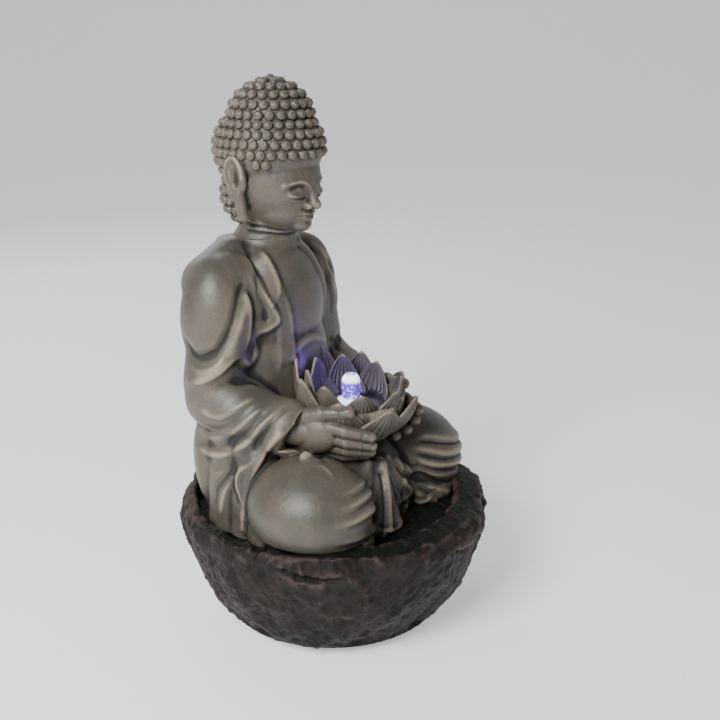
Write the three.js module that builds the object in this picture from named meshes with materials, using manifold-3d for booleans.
// Tabletop water fountain: a seated figure holds a lotus bowl over a rock-shaped basin.
// A small pump stands in the basin's well, under the hollow figure. It lifts water through a hose to a
// lit nozzle in the lotus, and the water runs over the petals and back down to the well.
// Units are millimetres. +Z is up, the figure faces -Y, and the origin is under the middle of the basin.

import * as THREE from "three";
import { mergeVertices } from "three/addons/utils/BufferGeometryUtils.js";
import Module from "manifold-3d";

const wasm = await Module();
wasm.setup();

// ---------------------------------------------------------------- driving dimensions

const bond = 0.3; // glue line or seat between two pieces that touch
const casting = { wall: 6 }; // thickness of the cast resin shells

const basin = {
  width: 238, // across the lip, side to side
  depth: 234, // across the lip, front to back
  height: 94, // from the surface the feet stand on to the lip
  lipSide: 16, // width of the rock lip at the sides
  lipFront: 26,
  lipBack: 10,
  bedDrop: 13, // from the lip down to the rock bed that the figure sits on
  floor: 9, // thickness under the pump well
  footShare: 0.65, // the underside's outline as a share of the lip's
};
const well = { width: 88, depth: 80, corner: 20, back: 12 }; // back: its middle behind the basin's
const pad = { radius: 8, height: 2.5, spreadX: 100, spreadY: 76 };
// The supply cord's way over the back lip.
const cordGate = { x: 44, width: 10, height: 9, bore: 3.3, slot: 3 };

const figure = {
  height: 319, // from the rock bed to the crown
  kneeInset: 11, // from a knee to the outside of the lip
  depth: 178, // from the back of the seat to the hem
  axisBack: 60, // the spine's place behind the middle of the basin
};
const weep = { width: 10, height: 5, spread: 48 }; // notches that let the bed drain into the well
const hatch = { width: 78, height: 104, sill: 22, corner: 14, flange: 4, clearance: 0.6, notch: 9 };

const lotus = {
  forward: 75, // its middle in front of the spine
  lift: 60, // its underside above the rock bed
  floor: 24, // the bowl's inside floor above its underside
  rim: 36,
  radius: 42, // of the bowl's rim
  stemRadius: 13,
  stemLength: 14,
  petals: 8, // in each of the two rings
  petalThickness: 3,
};
const lamp = {
  radius: 11, height: 7, wall: 1.4, sunk: 5, lensRadius: 6.8, lensHeight: 24, board: 1.6, chips: 4,
};
const nozzle = { outer: 3.4, inner: 2.2, tail: 12 };
const hose = { inner: 3.9, outer: 5.4 };
const lead = { radius: 1.1, besideHose: 7 };

const pump = {
  width: 38, // side to side
  length: 30, // the motor housing, along the rotor's axis
  height: 36,
  wall: 2.2,
  axisHeight: 13, // the rotor's axis above the housing's underside
  rotorRadius: 6,
  rotorGap: 1, // between the rotor and its can
  impellerRadius: 9.6,
  chamber: 12, // depth of the impeller chamber
  strainer: 9, // depth of the intake strainer
  front: 2, // the motor housing's middle in front of the basin's
};
const shaft = { radius: 1.1, clearance: 0.35 };
const cup = { radius: 6.5, height: 6, stud: 2.2 };
const dial = { radius: 9, thickness: 1.6, ports: 6, port: 1.35, portRing: 5.8, pin: 1.5 };

// ---------------------------------------------------------------- what follows from them

const bedZ = basin.height - basin.bedDrop; // the rock bed above the surface the feet stand on
const wellFloorZ = pad.height + basin.floor;
const recess = {
  width: basin.width - 2 * basin.lipSide,
  depth: basin.depth - basin.lipFront - basin.lipBack,
  back: (basin.lipFront - basin.lipBack) / 2, // its middle behind the basin's
};

// The figure is drawn at its usual size and fitted to the basin by a share along each axis.
const drawn = { kneeSpan: 216, height: 319, depth: 178, collar: 204 };
const fit = new THREE.Vector3(
  (basin.width - 2 * figure.kneeInset) / drawn.kneeSpan,
  figure.depth / drawn.depth,
  figure.height / drawn.height,
);
const roundFit = Math.cbrt(fit.x * fit.y * fit.z); // for round limbs

// ---------------------------------------------------------------- finishes

const finish = (color, roughness, metalness = 0) =>
  new THREE.MeshStandardMaterial({ color, roughness, metalness });
const stoneResin = finish(0x7d766c, 0.5);
const rockResin = finish(0x3d3230, 0.7);
const blackPlastic = finish(0x1b1b1d, 0.45);
const greyPlastic = finish(0x55585c, 0.5);
const clearPlastic = finish(0xe6e2ff, 0.1);
const clearVinyl = finish(0xc9d3d6, 0.3);
const rubber = finish(0x26262a, 0.85);
const steel = finish(0xa9adb2, 0.35, 1);
const copper = finish(0xb06a3c, 0.4, 1);
const ceramic = finish(0xf0eee8, 0.25);
const circuitBoard = finish(0xeef2ee, 0.5);
const ferrite = finish(0x3a3a3e, 0.6);
const pottingResin = finish(0x202124, 0.35);

// ---------------------------------------------------------------- shaping tools

// A closed geometry as a solid that can be cut and joined.
function solid(geometry) {
  const bare = geometry.clone();
  bare.deleteAttribute("normal");
  bare.deleteAttribute("uv");
  const merged = mergeVertices(bare, 1e-4);
  const mesh = new wasm.Mesh({
    numProp: 3,
    vertProperties: merged.attributes.position.array,
    triVerts: new Uint32Array(merged.index.array),
  });
  return new wasm.Manifold(mesh);
}

// A solid's surface, back as a geometry.
function surface(made) {
  const mesh = made.getMesh();
  const geometry = new THREE.BufferGeometry();
  geometry.setAttribute("position", new THREE.BufferAttribute(new Float32Array(mesh.vertProperties), 3));
  geometry.setIndex(new THREE.BufferAttribute(new Uint32Array(mesh.triVerts), 1));
  geometry.computeVertexNormals();
  return geometry;
}

const join = (solids) => solids.reduce((whole, next) => whole.add(next));

// A box whose underside is at z.
function box(width, depth, height, { x = 0, y = 0, z = 0 } = {}) {
  return solid(new THREE.BoxGeometry(width, depth, height).translate(x, y, z + height / 2));
}

// A cylinder that starts at (x, y, z) and runs along +Z, or along +Y when it is laid down.
function rod(radius, length, { x = 0, y = 0, z = 0, laid = false, sides = 24 } = {}) {
  const geometry = new THREE.CylinderGeometry(radius, radius, length, sides).translate(0, length / 2, 0);
  if (!laid) geometry.rotateX(Math.PI / 2);
  return solid(geometry.translate(x, y, z));
}

const ring = (outer, inner, length, place = {}) =>
  rod(outer, length, place).subtract(rod(inner, length, place));

// A solid of revolution about Z, from [radius, height] pairs that close on the axis or on themselves.
function turned(profile, sides = 32) {
  const points = profile.map(([radius, height]) => new THREE.Vector2(radius, height));
  return solid(new THREE.LatheGeometry(points, sides).rotateX(Math.PI / 2));
}

function roundedRectangle(width, height, corner) {
  const [x, y] = [width / 2, height / 2];
  const shape = new THREE.Shape();
  shape.absarc(x - corner, -y + corner, corner, -Math.PI / 2, 0);
  shape.absarc(x - corner, y - corner, corner, 0, Math.PI / 2);
  shape.absarc(-x + corner, y - corner, corner, Math.PI / 2, Math.PI);
  shape.absarc(-x + corner, -y + corner, corner, Math.PI, 1.5 * Math.PI);
  return shape;
}

// A block with rounded corners in plan, whose underside is at z.
function roundedBlock(width, depth, height, corner, { x = 0, y = 0, z = 0 } = {}) {
  const outline = roundedRectangle(width, depth, corner);
  const options = { depth: height, bevelEnabled: false, curveSegments: 4 };
  const geometry = new THREE.ExtrudeGeometry(outline, options);
  return solid(geometry.translate(x, y, z));
}

// The same block laid down: rounded corners as seen along Y, from y backwards, with its underside at z.
function laidBlock(width, height, length, corner, { x = 0, y = 0, z = 0 } = {}) {
  const outline = roundedRectangle(width, height, corner);
  const options = { depth: length, bevelEnabled: false, curveSegments: 4 };
  const geometry = new THREE.ExtrudeGeometry(outline, options);
  geometry.rotateX(Math.PI / 2).translate(x, y + length, z + height / 2);
  return solid(geometry);
}

// A round tube, or a cord when it has no bore, along a smooth curve through the points.
function alongCurve(points, radius, { steps, sides, bore = 0 }) {
  const section = new THREE.Shape().absarc(0, 0, radius, 0, 2 * Math.PI);
  if (bore) section.holes.push(new THREE.Path().absarc(0, 0, bore, 0, 2 * Math.PI, true));
  const curve = new THREE.CatmullRomCurve3(points.map((point) => new THREE.Vector3(...point)));
  return solid(new THREE.ExtrudeGeometry(section, { steps, extrudePath: curve, curveSegments: sides }));
}

// Copies of a solid-making step, spread evenly round a full turn.
const around = (count, make) => Array.from({ length: count }, (_, i) => make((2 * Math.PI * i) / count, i));

// A cast piece without the crumbs that cutting it back from its neighbours can leave.
const mainBody = (made) =>
  made.decompose().reduce((big, next) => (next.volume() > big.volume() ? next : big));

const bothSides = (make) => [-1, 1].flatMap((side) => make(side));

const fountain = new THREE.Group();

// A group at a place in its parent, which the pieces of one sub-assembly hang in.
function assembly(parent, x, y, z) {
  const group = new THREE.Group();
  group.position.set(x, y, z);
  parent.add(group);
  return group;
}

// One sub-part: a named mesh at a place in its group.
function add(group, name, made, material, x = 0, y = 0, z = 0) {
  const mesh = new THREE.Mesh(surface(made), material);
  mesh.name = name;
  mesh.position.set(x, y, z);
  group.add(mesh);
}

// ---------------------------------------------------------------- basin

// The lip's outline wanders in and out a little, as broken rock does, and so does everything inside it.
function roughened(geometry) {
  const place = geometry.attributes.position;
  for (let i = 0; i < place.count; i++) {
    const angle = Math.atan2(place.getY(i), place.getX(i));
    const swell = 1 + 0.012 * Math.cos(4 * angle + 0.9) + 0.008 * Math.cos(6 * angle - 0.5);
    place.setXY(i, place.getX(i) * swell, place.getY(i) * swell);
  }
  return geometry;
}

// An oval block with the rock's outline.
function rockBlock(width, depth, profile, back = 0) {
  const points = profile.map(([share, z]) => new THREE.Vector2(share, z));
  const geometry = roughened(new THREE.LatheGeometry(points, 40).rotateX(Math.PI / 2));
  return solid(geometry.scale(width / 2, depth / 2, 1).translate(0, back, 0));
}

// The space inside the lip, taken in all round by `inset`.
function recessBlock(inset, from, to) {
  const profile = [[0, from], [1, from], [1, to], [0, to]];
  return rockBlock(recess.width - 2 * inset, recess.depth - 2 * inset, profile, recess.back);
}

function basinSolid() {
  const { height, footShare } = basin;
  const rise = (share) => pad.height + share * (height - pad.height);
  const rock = rockBlock(basin.width, basin.depth, [
    [0, rise(0)], [footShare, rise(0)], [footShare + 0.07, rise(0.06)], [0.86, rise(0.33)],
    [0.95, rise(0.6)], [0.99, rise(0.82)], [1, rise(0.93)], [0.975, rise(1)], [0, rise(1)],
  ]);
  const above = 1;
  const bed = recessBlock(0, bedZ, height + above);
  const sump = roundedBlock(well.width, well.depth, height, well.corner, { y: well.back, z: wellFloorZ });
  const gate = box(cordGate.width, basin.lipBack * 4, cordGate.height + above, {
    x: cordGate.x, y: basin.depth / 2 - basin.lipBack, z: height - cordGate.height,
  });
  return rock.subtract(bed).subtract(sump).subtract(gate);
}

add(fountain, "basin", basinSolid(), rockResin);

const padCorners = [
  ["front_left", 1, -1], ["front_right", -1, -1], ["back_left", 1, 1], ["back_right", -1, 1],
];
for (const [corner, side, end] of padCorners) {
  const footPad = rod(pad.radius, pad.height - bond);
  add(fountain, `foot_pad_${corner}`, footPad, rubber, (side * pad.spreadX) / 2, (end * pad.spreadY) / 2, 0);
}

// A rubber liner in the gate, with a slot that the cord presses down into.
function grommetSolid() {
  const length = basin.lipBack * 1.5;
  const liner = box(cordGate.width - 2 * bond, length, cordGate.height - bond);
  const way = { y: -length / 2 - 1, z: cordGate.height / 2, laid: true, sides: 16 };
  const slot = box(cordGate.slot, length + 2, cordGate.height, { z: cordGate.height / 2 });
  return liner.subtract(rod(cordGate.bore, length + 2, way)).subtract(slot);
}

// The middle of the lip's width at the gate.
const acrossLip = (width, depth) => (depth / 2) * Math.sqrt(1 - (2 * cordGate.x / width) ** 2);
const gateY = (acrossLip(basin.width, basin.depth) + acrossLip(recess.width, recess.depth) + recess.back) / 2;
const gateFloor = basin.height - cordGate.height;
add(fountain, "cord_grommet", grommetSolid(), rubber, cordGate.x, gateY, gateFloor + bond);

// ---------------------------------------------------------------- figure
// Centres and radii of the sculpted masses are at the drawn size. `thin` comes off every radius, for the
// inside of a shell.

function mass([x, y, z], [rx, ry, rz], thin = 0, sides = thin > 0 ? 10 : 16) {
  const ball = new THREE.SphereGeometry(1, sides, Math.round(sides * 0.6)).rotateX(Math.PI / 2);
  ball.scale(rx * fit.x - thin, ry * fit.y - thin, rz * fit.z - thin);
  return solid(ball.translate(x * fit.x, y * fit.y, z * fit.z));
}

// A limb with round ends, from one point to another.
function limb(from, to, fromRadius, toRadius, thin = 0, sides = 10) {
  const [a, b] = [from, to].map(([x, y, z]) => new THREE.Vector3(x * fit.x, y * fit.y, z * fit.z));
  const [ra, rb] = [fromRadius * roundFit - thin, toRadius * roundFit - thin];
  const length = a.distanceTo(b);
  const bands = 2; // rings in each round end
  const profile = [];
  for (let i = 0; i <= bands; i++) {
    const turn = (Math.PI / 2) * (1 - i / bands);
    profile.push(new THREE.Vector2(i ? ra * Math.cos(turn) : 0, -ra * Math.sin(turn)));
  }
  for (let i = 0; i <= bands; i++) {
    const turn = (Math.PI / 2) * (i / bands);
    profile.push(new THREE.Vector2(i < bands ? rb * Math.cos(turn) : 0, length + rb * Math.sin(turn)));
  }
  const geometry = new THREE.LatheGeometry(profile, sides);
  const direction = b.clone().sub(a).normalize();
  geometry.applyQuaternion(new THREE.Quaternion().setFromUnitVectors(new THREE.Vector3(0, 1, 0), direction));
  return solid(geometry.translate(a.x, a.y, a.z));
}

// The neck flares into the shoulders. The head casting takes over from it at the collar.
const neck = [[0, 3, 172], [0, -5, 214], 35, 20];

// The robed trunk and crossed legs, which are hollow.
function trunkMasses(thin = 0) {
  return join([
    mass([0, 0, 34], [72, 43, 62], thin), // seat
    mass([0, 0, 92], [58, 41, 86], thin), // waist
    mass([0, 0, 150], [52, 37, 58], thin), // chest
    mass([0, 5, 176], [63, 33, 28], thin), // shoulders
    mass([0, -40, 14], [64, 44, 40], thin), // thighs
    mass([0, -82, 12], [72, 50, 44], thin), // lap
    ...bothSides((side) => mass([side * 66, -84, 28], [42, 46, 37], thin)), // knees
    limb(...neck, thin),
  ]);
}

// The sleeves and the front hem, which are solid.
function drapery() {
  return join([
    mass([0, -92, 0], [82, 44, 24]), // hem
    ...bothSides((side) => [
      limb([side * 48, 4, 176], [side * 62, 4, 100], 24, 24), // upper sleeve
      limb([side * 62, 0, 92], [side * 52, -47, 78], 24, 19), // lower sleeve
      mass([side * 60, -4, 46], [18, 29, 50]), // hanging sleeve
    ]),
  ]);
}

const aboveBed = (z) => box(3 * basin.width, 3 * basin.depth, figure.height, { z });
const seamZ = drawn.collar * fit.z; // between the body and the head casting
const lotusPlace = [0, -lotus.forward * fit.y, lotus.lift * fit.z];

// The rear opening has a rebate: its outer half is wider by a flange, which the cover's edge lies on.
function hatchBlock(shrink, flange) {
  const [width, height] = [hatch.width, hatch.height].map((size) => size - 2 * (shrink + flange));
  const corner = Math.max(2, hatch.corner - shrink - flange);
  const z = hatch.sill + shrink + flange;
  return laidBlock(width, height, figure.depth, corner, { y: 0, z });
}

const hand = (side, grow = 0) => {
  const fingers = [0, 1, 2, 3].map((i) =>
    limb([side * (45 - i * 3), -80, 82 - i * 8], [side * (36 - i * 5), -112, 77 - i * 7], 5, 4.2, -grow, 8),
  );
  return join([
    limb([side * 53, -36, 77], [side * 46, -56, 77], 12, 12, -grow), // wrist
    mass([side * 44, -68, 74], [10, 24, 17], -grow, 12), // palm
    limb([side * 45, -58, 88], [side * 38, -96, 93], 6, 4.6, -grow, 8), // thumb
    ...fingers,
  ]);
};

const shell = () => trunkMasses().add(drapery());

function bodySolid() {
  const cavity = trunkMasses(casting.wall);
  const halfWall = trunkMasses(casting.wall / 2);
  const lipTop = basin.bedDrop + 2 * bond;
  const lipRing = box(2 * basin.width, 2 * basin.depth, lipTop + 1, { z: -1 })
    .subtract(recessBlock(1, -2, lipTop + 1).translate([0, -figure.axisBack, 0]));
  const stemHole = rod(lotus.stemRadius + bond, 4 * lotus.stemLength, {
    x: lotusPlace[0], y: lotusPlace[1], z: lotusPlace[2] - 2 * lotus.stemLength,
  });
  const drains = bothSides((side) =>
    box(weep.width, 2 * figure.depth, weep.height + 1, {
      x: (side * weep.spread) / 2, y: -figure.depth, z: -1,
    }));
  const cordHole = box(cordGate.width, figure.depth, cordGate.height + 1, {
    x: cordGate.x, y: figure.depth / 2, z: -1,
  });
  return mainBody(shell()
    .intersect(aboveBed(bond))
    .subtract(aboveBed(seamZ))
    .subtract(cavity)
    .subtract(lipRing)
    .subtract(hatchBlock(0, 0).subtract(halfWall))
    .subtract(hatchBlock(0, hatch.flange))
    .subtract(stemHole)
    .subtract(join(drains))
    .subtract(cordHole)
    .subtract(join(bothSides((side) => hand(side, bond))))
    .subtract(lotusPetals(bond).translate(lotusPlace))
    .subtract(lotusBowl(bond).translate(lotusPlace)));
}

// The cover is cut from the same shell, so that its outside follows the figure's back.
function rearCoverSolid() {
  const outer = trunkMasses();
  const edge = outer.intersect(hatchBlock(hatch.clearance, 0)).subtract(trunkMasses(casting.wall / 2 - bond));
  const plug = outer.intersect(hatchBlock(hatch.clearance, hatch.flange)).subtract(trunkMasses(casting.wall));
  const thumb = rod(hatch.notch, figure.depth, {
    y: 0, z: hatch.sill + hatch.height + hatch.notch / 2, laid: true,
  }).subtract(trunkMasses(casting.wall / 2));
  return edge.add(plug).subtract(thumb);
}

function headSolid() {
  const headMasses = (thin) => [
    limb(...neck, thin),
    mass([0, -9, 246], [31, 34, 38], thin), // face
    mass([0, -3, 266], [37, 43, 35], thin), // hair
    mass([0, -5, 292], [29, 29, 27], thin), // crown
  ];
  const ears = bothSides((side) => mass([side * 36, -3, 244], [5, 9, 24], 0, 12));
  return join([...headMasses(0), ...ears])
    .intersect(aboveBed(seamZ + bond))
    .subtract(join(headMasses(casting.wall)));
}

// ---------------------------------------------------------------- lotus

// The petals lean further out towards the front, where the water spills.
function petal(turn, outerRing, grow) {
  const open = (1 - Math.cos(turn)) / 2; // 0 at the back, 1 at the front
  const mix = (atBack, atFront) => atBack + (atFront - atBack) * open;
  const base = outerRing ? [14, 3] : [14, 14];
  const bend = outerRing ? [mix(44, 42), mix(6, 4)] : [mix(36, 38), mix(16, 18)];
  const tip = outerRing ? [mix(44, 52), mix(60, 27)] : [mix(31, 38), mix(53, 37)];
  const width = outerRing ? 37 : 28;
  const points = [base, bend, tip].map((point) => new THREE.Vector2(...point));
  const spine = new THREE.QuadraticBezierCurve(...points);
  const cupped = width * 0.22; // how far the edges curl in
  const leaf = new THREE.BoxGeometry(1, 1, 1, 2, 1, 4);
  const place = leaf.attributes.position;
  for (let i = 0; i < place.count; i++) {
    const [across, through, along] = [2 * place.getX(i), place.getY(i), place.getZ(i) + 0.5];
    const onSpine = spine.getPoint(along);
    const out = spine.getTangent(along).rotateAround(new THREE.Vector2(), -Math.PI / 2);
    const halfWidth = (width / 2) * Math.max(0.06, Math.sin(Math.PI * (0.14 + 0.86 * along)) ** 0.8);
    const thickness = lotus.petalThickness * (1 - 0.4 * along) + 2 * grow;
    const inward = cupped * across * across * (halfWidth / (width / 2));
    const offset = through * thickness - inward;
    place.setXYZ(i, across * (halfWidth + grow), onSpine.x + out.x * offset, onSpine.y + out.y * offset);
  }
  return solid(leaf.rotateZ(turn));
}

function lotusPetals(grow = 0) {
  const half = Math.PI / lotus.petals;
  return join([
    ...around(lotus.petals, (turn) => petal(turn + half, true, grow)),
    ...around(lotus.petals, (turn) => petal(turn, false, grow)),
  ]);
}

// The bowl's outside, with its stem, as one turned block.
function lotusBowl(grow = 0) {
  const { radius, rim, stemRadius, stemLength } = lotus;
  return turned([
    [0, -stemLength], [stemRadius + grow, -stemLength], [stemRadius + grow, -grow], [radius * 0.7, 7 - grow],
    [radius * 0.93 + grow, 20 - grow], [radius + grow, rim], [0, rim],
  ], 24);
}

function lotusSolid() {
  const { radius, rim, floor, stemLength } = lotus;
  const pool = turned([
    [0, floor], [radius * 0.62, floor], [radius * 0.78, floor + 3], [radius * 0.9, rim + 0.1], [0, rim + 0.1],
  ], 24);
  const hollow = [[0, floor], [radius * 0.62, floor], [radius * 0.74, rim], [radius * 0.6, 80], [0, 80]];
  const inside = turned(hollow, 24);
  const lampSeat = rod(lamp.radius + bond, lamp.sunk + 1, { z: floor - lamp.sunk });
  const hoseWay = rod(lead.besideHose + lead.radius + 0.6, floor + stemLength, { z: -stemLength });
  const stemRoom = rod(lotus.stemRadius, 60, { z: -60 });
  const underneath = box(4 * radius, 4 * radius, 60, { z: -60 }).subtract(stemRoom);
  return lotusBowl().subtract(pool)
    .add(lotusPetals().subtract(inside))
    .subtract(underneath)
    .subtract(lampSeat)
    .subtract(hoseWay);
}

// ---------------------------------------------------------------- lamp and nozzle

// Heights here are from the lamp housing's underside.
const nozzleBore = nozzle.outer + 0.3;
const boardZ = lamp.wall + 2;

function lampHousing() {
  const { radius, height, wall } = lamp;
  const inside = ring(radius - wall, nozzleBore + wall, height, { z: wall });
  const leadHole = rod(lead.radius + 0.3, wall + 2, { x: lead.besideHose, z: -1, sides: 12 });
  return rod(radius, height).subtract(rod(nozzleBore, height)).subtract(inside).subtract(leadHole);
}

function lampBoard() {
  const disc = ring(lamp.radius - lamp.wall - 0.3, nozzleBore + lamp.wall + 0.3, lamp.board);
  const chips = around(lamp.chips, (turn) => {
    const middle = (lamp.radius + nozzleBore) / 2;
    return box(2, 2, 0.9, { x: middle * Math.cos(turn), y: middle * Math.sin(turn), z: lamp.board - 0.1 });
  });
  return join([disc, ...chips]);
}

// The clear lens closes the housing and stands up round the nozzle as a dome.
function lampLens() {
  const { lensRadius, lensHeight, height } = lamp;
  const flange = lamp.radius;
  const shoulder = lensHeight - lensRadius;
  const dome = around(24, (turn) => turn).slice(0, 6).map((turn) => [
    lensRadius * Math.cos(turn), shoulder + lensRadius * Math.sin(turn),
  ]);
  const bore = nozzleBore;
  const inBore = dome.filter(([radius]) => radius > bore);
  const top = shoulder + Math.sqrt(lensRadius ** 2 - bore ** 2);
  return turned([
    [bore, 0], [flange, 0], [flange, 1.4], [lensRadius, 2.2], ...inBore, [bore, top], [bore, 0],
  ]).translate([0, 0, height + bond]);
}

function nozzleSolid(reach) {
  const { outer, inner, tail } = nozzle;
  return turned([
    [inner, -tail], [outer - 0.6, -tail], [outer, 2 - tail], [outer, reach], [inner, reach], [inner, -tail],
  ], 20);
}

// ---------------------------------------------------------------- pump
// The rotor's axis runs along Y through the pump group's origin. Its intake faces +Y, the figure's back.

const housingEnd = pump.length / 2;
const canInner = pump.rotorRadius + pump.rotorGap;
const canOuter = canInner + 1.2;
const canEnd = -housingEnd + 3;
const chamberEnd = housingEnd + bond + pump.chamber;
const strainerEnd = chamberEnd + bond + pump.strainer;
const under = -pump.axisHeight; // the housing's underside

const laidRod = (radius, from, to, sides = 24) => rod(radius, to - from, { y: from, laid: true, sides });
const laidRing = (outer, inner, from, to, sides = 24) =>
  laidRod(outer, from, to, sides).subtract(laidRod(inner, from, to, sides));

function pumpHousing() {
  const { width, height, length, wall } = pump;
  const block = laidBlock(width, height, length, 5, { y: -housingEnd, z: under });
  const pocketLength = length - wall;
  const pocketPlace = { y: -housingEnd, z: under + wall };
  const pocket = laidBlock(width - 2 * wall, height - 2 * wall, pocketLength, 3, pocketPlace);
  const studs = join(cupPlaces.map(([x, y]) => rod(cup.stud + 0.2, 4, { x, y, z: under - 1, sides: 12 })));
  return block.subtract(pocket)
    .add(laidRod(canOuter, canEnd, housingEnd))
    .subtract(laidRod(canInner, canEnd + 1.2, housingEnd + 1))
    .subtract(studs);
}

const cupPlaces = bothSides((side) =>
  [-1, 1].map((end) => [side * (pump.width / 2 - 8), end * (housingEnd - 8)]));

function statorCore() {
  const { width, wall, height } = pump;
  const across = width - 2 * wall - 3;
  const low = under + wall + 0.5;
  const shoulder = canOuter + 3;
  const place = { y: -1, z: low };
  const yoke = box(across, 12, shoulder - low, place);
  const leg = box(9, 12, under + height - wall - 0.6 - low, place);
  return yoke.add(leg).subtract(laidRod(canOuter + 0.4, -8, 8));
}

function statorCoil() {
  const from = canOuter + 3.5;
  const to = under + pump.height - pump.wall - 1.4;
  const winding = roundedBlock(23, 21, to - from, 4, { y: -1, z: from });
  return winding.subtract(box(9.8, 12.8, to - from + 2, { y: -1, z: from - 1 }));
}

// The motor is sealed with a slab of potting resin, which the lamp's lead comes out of.
function pottingSlab() {
  const { width, height, wall } = pump;
  return laidBlock(width - 2 * wall - 0.6, height - 2 * wall - 0.6, 2.4, 2.6, { z: under + wall + 0.3 });
}

function rotorMagnet() {
  return laidRing(pump.rotorRadius, shaft.radius + shaft.clearance, -8, 10, 20);
}

function impellerSolid() {
  const [from, to] = [housingEnd + bond + 1, chamberEnd - 4];
  const bore = shaft.radius + shaft.clearance;
  const sleeve = laidRing(3.6, bore, 10 + bond, from + 1, 20);
  const disc = laidRing(pump.impellerRadius, bore, from, from + 1.2, 20);
  const blades = around(6, (turn) => {
    const blade = new THREE.BoxGeometry(pump.impellerRadius - 2, to - from, 1.2);
    blade.translate(pump.impellerRadius / 2 + 1, (from + to) / 2, 0).rotateY(turn);
    return solid(blade);
  });
  const hub = laidRod(3.2, from, to, 20);
  return join([sleeve, disc, hub, ...blades]).subtract(laidRod(bore, from - 1, to + 1, 20));
}

// The chamber leads the water round to a spigot on its top.
function chamberSolid() {
  const from = housingEnd + bond;
  const wide = pump.impellerRadius + 4;
  const outletY = (from + chamberEnd) / 2 - 0.5;
  const shellOf = (radius, start, end) => laidRod(radius, start, end, 28);
  const spigotTop = under + pump.height + 12;
  const outlet = (radius, z, top) => rod(radius, top - z, { y: outletY, z, sides: 20 });
  const bushSeat = laidRod(3.2 + 0.1, chamberEnd - 4, chamberEnd - 1.2, 16);
  const ports = around(6, (turn) => rod(1.8, 8, {
    x: 6.4 * Math.cos(turn), z: 6.4 * Math.sin(turn), y: chamberEnd - 4, laid: true, sides: 10,
  }));
  const flange = laidBlock(pump.width, pump.height, 3, 5, { y: from, z: under });
  return shellOf(wide, from, chamberEnd)
    .add(flange)
    .add(outlet(nozzle.outer, 4, spigotTop))
    .subtract(shellOf(wide - 2, from - 1, chamberEnd - 3))
    .subtract(outlet(nozzle.inner, wide - 4, spigotTop + 1))
    .subtract(bushSeat)
    .subtract(join(ports));
}

function strainerSolid() {
  const { width, height, strainer } = pump;
  const from = chamberEnd + bond;
  const block = laidBlock(width, height, strainer, 5, { y: from, z: under });
  const inside = laidBlock(width - 3.6, height - 3.6, strainer - 1.8, 4, { y: from - 0.01, z: under + 1.8 });
  const ports = around(dial.ports, (turn) => rod(dial.port, 8, {
    x: dial.portRing * Math.cos(turn), z: dial.portRing * Math.sin(turn), y: strainerEnd - 4,
    laid: true, sides: 10,
  }));
  const pinHole = laidRod(dial.pin + 0.3, strainerEnd - 4, strainerEnd + 1, 12);
  const slotZ = under + height - 11;
  const slots = [-14, -7, 0, 7, 14].map((x) => box(2.4, 5, 6, { x, y: strainerEnd - 1, z: slotZ }));
  return join([block]).subtract(inside).subtract(join(ports)).subtract(pinHole).subtract(join(slots));
}

// Half the ports' pitch, a twelfth of a turn, takes the dial from open to shut.
function dialSolid() {
  const from = strainerEnd + bond;
  const disc = laidRod(dial.radius, from, from + dial.thickness);
  const pin = laidRod(dial.pin, strainerEnd - 3.5, from + 0.5, 12);
  const grip = box(2.2, 4, 2 * dial.radius - 3, { y: from + dial.thickness + 1, z: -dial.radius + 1.5 });
  const ports = around(dial.ports, (turn) => rod(dial.port, 6, {
    x: dial.portRing * Math.cos(turn), z: dial.portRing * Math.sin(turn), y: from - 1, laid: true, sides: 10,
  }));
  return disc.subtract(join(ports)).add(pin).add(grip);
}

function suctionCup() {
  const { radius, height, stud } = cup;
  return turned([
    [0, 1.6], [radius - 1.2, bond], [radius, bond], [radius - 0.6, 1.2], [stud + 1.2, height - bond - 1],
    [stud + 1.2, height - bond], [stud, height - bond], [stud, height + 2], [0, height + 2],
  ], 16);
}

// ---------------------------------------------------------------- assembly

const figureGroup = assembly(fountain, 0, figure.axisBack, bedZ);
add(figureGroup, "figure_body", bodySolid(), stoneResin);
add(figureGroup, "head", headSolid(), stoneResin);
add(figureGroup, "rear_cover", rearCoverSolid(), stoneResin);
const petalsGrown = lotusPetals(bond).add(lotusBowl(bond)).translate(lotusPlace);
for (const [name, side] of [["right_hand", -1], ["left_hand", 1]]) {
  add(figureGroup, name, mainBody(hand(side).subtract(petalsGrown)), stoneResin);
}

const lotusGroup = assembly(figureGroup, ...lotusPlace);
add(lotusGroup, "lotus_bowl", lotusSolid(), stoneResin);
const lampGroup = assembly(lotusGroup, 0, 0, lotus.floor - lamp.sunk + bond);
add(lampGroup, "lamp_housing", lampHousing(), blackPlastic);
add(lampGroup, "lamp_board", lampBoard(), circuitBoard, 0, 0, boardZ);
add(lampGroup, "lamp_lens", lampLens(), clearPlastic);
add(lampGroup, "nozzle", nozzleSolid(lamp.height + lamp.lensHeight - 2), clearPlastic);

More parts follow.
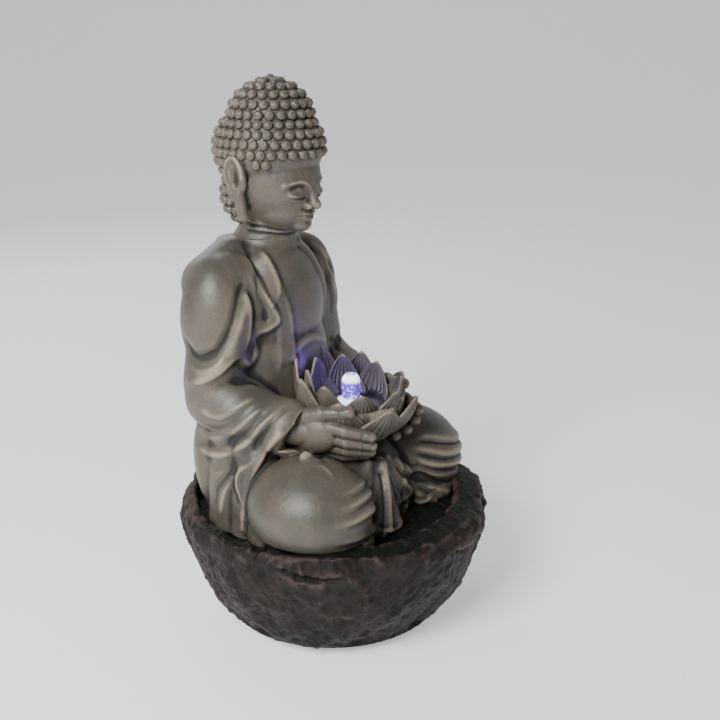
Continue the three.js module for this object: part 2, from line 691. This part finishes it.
const pumpZ = wellFloorZ + cup.height + pump.axisHeight;
const pumpGroup = assembly(fountain, 0, -pump.front, pumpZ);
add(pumpGroup, "pump_housing", pumpHousing(), blackPlastic);
add(pumpGroup, "stator_core", statorCore(), steel);
add(pumpGroup, "stator_coil", statorCoil(), copper);
add(pumpGroup, "potting_slab", pottingSlab(), pottingResin, 0, -housingEnd, 0);
add(pumpGroup, "rotor_magnet", rotorMagnet(), ferrite);
add(pumpGroup, "impeller", impellerSolid(), greyPlastic);
add(pumpGroup, "rotor_shaft", laidRod(shaft.radius, canEnd + 1.6, chamberEnd - 1.6, 12), ceramic);
add(pumpGroup, "inner_bush", laidRing(3.2, shaft.radius + 0.1, canEnd + 1.5, canEnd + 3.7, 16), rubber);
const outerBush = laidRing(3.2, shaft.radius + 0.1, chamberEnd - 3.7, chamberEnd - 1.5, 16);
add(pumpGroup, "outer_bush", outerBush, rubber);
add(pumpGroup, "impeller_chamber", chamberSolid(), blackPlastic);
add(pumpGroup, "intake_strainer", strainerSolid(), blackPlastic);
add(pumpGroup, "flow_dial", dialSolid(), greyPlastic);
cupPlaces.forEach(([x, y], i) =>
  add(pumpGroup, `suction_cup_${i + 1}`, suctionCup(), rubber, x, y, under - cup.height));

// ---------------------------------------------------------------- hose and lamp lead

const lampUnderside = [
  0, figure.axisBack + lotusPlace[1], bedZ + lotusPlace[2] + lotus.floor - lamp.sunk + bond,
];
const spigot = {
  y: -pump.front + (housingEnd + bond + chamberEnd) / 2 - 0.5,
  z: pumpZ + under + pump.height,
};

function hoseSolid() {
  const [x, y, z] = lampUnderside;
  const bottom = spigot.z + 1;
  const top = z - 1.5;
  const stemEnd = bedZ + lotusPlace[2] - lotus.stemLength;
  return alongCurve([
    [0, spigot.y, bottom], [0, spigot.y, bottom + 8], [0, spigot.y, bottom + 15],
    [x, (spigot.y + y) / 2, (bottom + 15 + stemEnd) / 2],
    [x, y, stemEnd - 5], [x, y, (stemEnd + top) / 2], [x, y, top],
  ], hose.outer, { steps: 16, sides: 4, bore: hose.inner });
}
add(fountain, "hose", hoseSolid(), clearVinyl);

// The lead runs down beside the hose and round the front of the housing into the potting.
function leadSolid() {
  const [x, y, z] = lampUnderside;
  const slabY = -pump.front - housingEnd;
  return alongCurve([
    [x + lead.besideHose, y, z + lamp.wall], [x + lead.besideHose, y, z - 18],
    [x + lead.besideHose, y, z - 36], [x + 13, y - 4, (z + pumpZ) / 2],
    [x + 11, slabY - 4.5, pumpZ + 26], [x + 9, slabY - 4.5, pumpZ + 10],
    [x + 9, slabY - 1, pumpZ + 4],
  ], lead.radius, { steps: 30, sides: 3 });
}
add(fountain, "lamp_lead", leadSolid(), rubber);

export default fountain;
